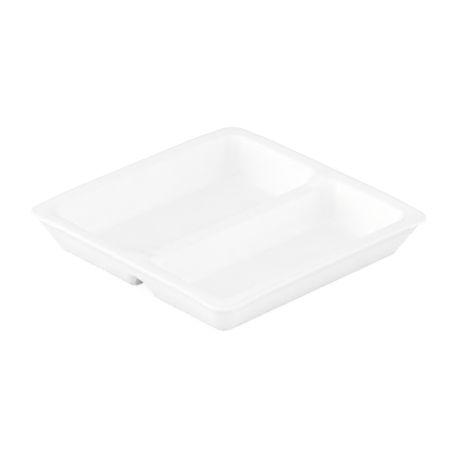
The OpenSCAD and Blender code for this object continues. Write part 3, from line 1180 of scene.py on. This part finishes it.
class BOWL_OT_compartment_walls(bpy.types.Operator):
    """Make the wall of each compartment, from the inside to the outside"""

    bl_idname = "bowl.compartment_walls"
    bl_label = "Compartment walls"

    def execute(self, context):
        skin, sheets = laid_out(context)
        for side, rows in (
            ("large", (skin.spans["large"][0], skin.cells[1])),
            ("small", (0, skin.spans["small"][1])),
        ):
            cells = cells_between(skin, (0, skin.cells[0]), rows)
            cells &= ~cells_between(skin, skin.spans["x"], skin.spans[side])
            add_region(f"{side}_compartment_wall", "wall", skin, sheets, cells)
        return {"FINISHED"}


class BOWL_OT_compartment_floors(bpy.types.Operator):
    """Make the floor panel of each compartment"""

    bl_idname = "bowl.compartment_floors"
    bl_label = "Compartment floors"

    def execute(self, context):
        skin, sheets = laid_out(context)
        for side in ("large", "small"):
            cells = cells_between(skin, skin.spans["x"], skin.spans[side])
            add_region(f"{side}_compartment_floor", "floor", skin, sheets, cells)
        return {"FINISHED"}


class BOWL_OT_divider(bpy.types.Operator):
    """Make the divider's ridge and its two ends over the open groove"""

    bl_idname = "bowl.divider"
    bl_label = "Divider"

    def execute(self, context):
        skin, sheets = laid_out(context)
        start, end = skin.spans["x"]
        for node, columns in (
            ("left_divider_end", (0, start)),
            ("divider_ridge", (start, end)),
            ("right_divider_end", (end, skin.cells[0])),
        ):
            cells = cells_between(skin, columns, skin.spans["divider"])
            add_region(node, "divider", skin, sheets, cells)
        return {"FINISHED"}


def direction(around, up):
    """Unit vector at an angle round the bowl and one up from the floor."""
    flat = math.cos(up)
    return Vector((flat * math.cos(around), flat * math.sin(around), math.sin(up)))


def camera_frame(studio):
    """Where the camera stands and how it is turned."""
    back = direction(studio.azimuth, studio.elevation)
    right = Vector((0.0, 0.0, 1.0)).cross(back).normalized()
    above = back.cross(right)
    middle = Vector((0.0, 0.0, LIP_HIGH.z - MILLIMETRE))
    place = middle + back * studio.distance + right * studio.aside + above * studio.above
    turned = right * math.cos(studio.roll) + above * math.sin(studio.roll)
    upright = back.cross(turned)
    return place, Matrix((turned, upright, back)).transposed()


def lamp(name, watts, studio, aside, height):
    """Large soft lamp aimed at the bowl; angles in degrees from the camera and from the floor."""
    light = bpy.data.lights.new(name, "AREA")
    light.shape = "SQUARE"
    light.size = studio.lamp_size
    light.energy = watts
    away = direction(studio.azimuth + math.radians(aside), math.radians(height))
    lamp_object = placed(name, light)
    lamp_object.location = away * studio.lamp_distance
    lamp_object.rotation_euler = away.to_track_quat("Z", "Y").to_euler()


def show_camera(tree, real, shown, part, output):
    """Ends a tree in its real shader, under part of another one that only the camera sees."""
    amount = tree.nodes.new("ShaderNodeLightPath").outputs["Is Camera Ray"]
    if part < 1.0:
        amount = maths(tree, "MULTIPLY", amount, part)
    inputs = {0: amount, 1: real.outputs[0], 2: shown.outputs[0]}
    mix = add_node(tree, "ShaderNodeMixShader", inputs)
    tree.links.new(mix.outputs[0], tree.nodes[output].inputs["Surface"])


def white_world(studio):
    """Even light from all round, which looks plain white to the camera."""
    world = bpy.data.worlds.new("studio")
    bpy.context.scene.world = world
    world.use_nodes = True
    tree = world.node_tree
    sky = tree.nodes["Background"]
    sky.inputs["Color"].default_value = WHITE
    sky.inputs["Strength"].default_value = studio.sky
    white = add_node(tree, "ShaderNodeBackground", {"Color": WHITE, "Strength": 1.0})
    show_camera(tree, sky, white, 1.0, "World Output")


def pale_floor(studio):
    """Floor that looks white to the camera and keeps part of the bowl's shadow."""
    turns = [math.tau * step / FLOOR_SIDES for step in range(FLOOR_SIDES)]
    edge = [(FLOOR_REACH * math.cos(turn), FLOOR_REACH * math.sin(turn), 0.0) for turn in turns]
    mesh = bpy.data.meshes.new("studio_floor")
    mesh.from_pydata(edge, [], [tuple(range(FLOOR_SIDES))])
    material = bpy.data.materials.new("studio floor")
    material.use_nodes = True
    tree = material.node_tree
    paint = tree.nodes["Principled BSDF"]
    paint.inputs["Base Color"].default_value = studio.floor
    paint.inputs["Roughness"].default_value = FLOOR_ROUGHNESS
    paint.inputs["Specular IOR Level"].default_value = 0.0
    glow = add_node(tree, "ShaderNodeEmission", {"Color": WHITE, "Strength": FLOOR_GLOW})
    show_camera(tree, paint, glow, 1.0 - studio.shadow, "Material Output")
    mesh.materials.append(material)
    floor = placed("studio_floor", mesh)
    floor.location.z = -FLOOR_DROP


class BOWL_OT_studio(bpy.types.Operator):
    """Set up the camera, the white floor and the soft lamps"""

    bl_idname = "bowl.studio"
    bl_label = "Studio"

    def execute(self, context):
        scene, studio = context.scene, context.scene.bowl_studio
        scene.view_settings.view_transform = "Standard"
        data = bpy.data.cameras.new("camera")
        data.lens = studio.lens
        data.sensor_width = SENSOR_WIDTH
        camera = placed("camera", data)
        place, turn = camera_frame(studio)
        camera.matrix_world = Matrix.Translation(place) @ turn.to_4x4()
        scene.camera = camera
        white_world(studio)
        pale_floor(studio)
        for name, angles in LAMP_ANGLES.items():
            lamp(f"{name} lamp", getattr(studio, name), studio, *angles)
        return {"FINISHED"}


OPERATORS = (
    BOWL_OT_rim_lip,
    BOWL_OT_rim_top,
    BOWL_OT_compartment_walls,
    BOWL_OT_compartment_floors,
    BOWL_OT_divider,
    BOWL_OT_studio,
)
GROUPS = (
    ("bowl_shape", BowlShape),
    ("bowl_finish", BowlFinish),
    ("bowl_studio", BowlStudio),
)


class BOWL_PT_sidebar(bpy.types.Panel):
    """Buttons and sizes of the serving bowl"""

    bl_idname = "BOWL_PT_sidebar"
    bl_label = "Serving bowl"
    bl_space_type = "VIEW_3D"
    bl_region_type = "UI"
    bl_category = "Bowl"

    def draw(self, context):
        for operator in OPERATORS:
            self.layout.operator(operator.bl_idname)
        for label, group in GROUPS:
            box = self.layout.box()
            for key in group.__annotations__:
                box.prop(getattr(context.scene, label), key)


def register():
    """Registers the classes and hangs the property groups on the scene."""
    for label, group in GROUPS:
        bpy.utils.register_class(group)
        setattr(bpy.types.Scene, label, bpy.props.PointerProperty(type=group))
    for item in (*OPERATORS, BOWL_PT_sidebar):
        bpy.utils.register_class(item)


def unregister():
    """Undoes register."""
    for item in reversed((*OPERATORS, BOWL_PT_sidebar)):
        bpy.utils.unregister_class(item)
    for label, group in reversed(GROUPS):
        delattr(bpy.types.Scene, label)
        bpy.utils.unregister_class(group)


def main():
    register()
    bpy.ops.bowl.rim_lip()
    bpy.ops.bowl.rim_top()
    bpy.ops.bowl.compartment_walls()
    bpy.ops.bowl.compartment_floors()
    bpy.ops.bowl.divider()
    bpy.ops.bowl.studio()


if __name__ == "__main__":
    main()
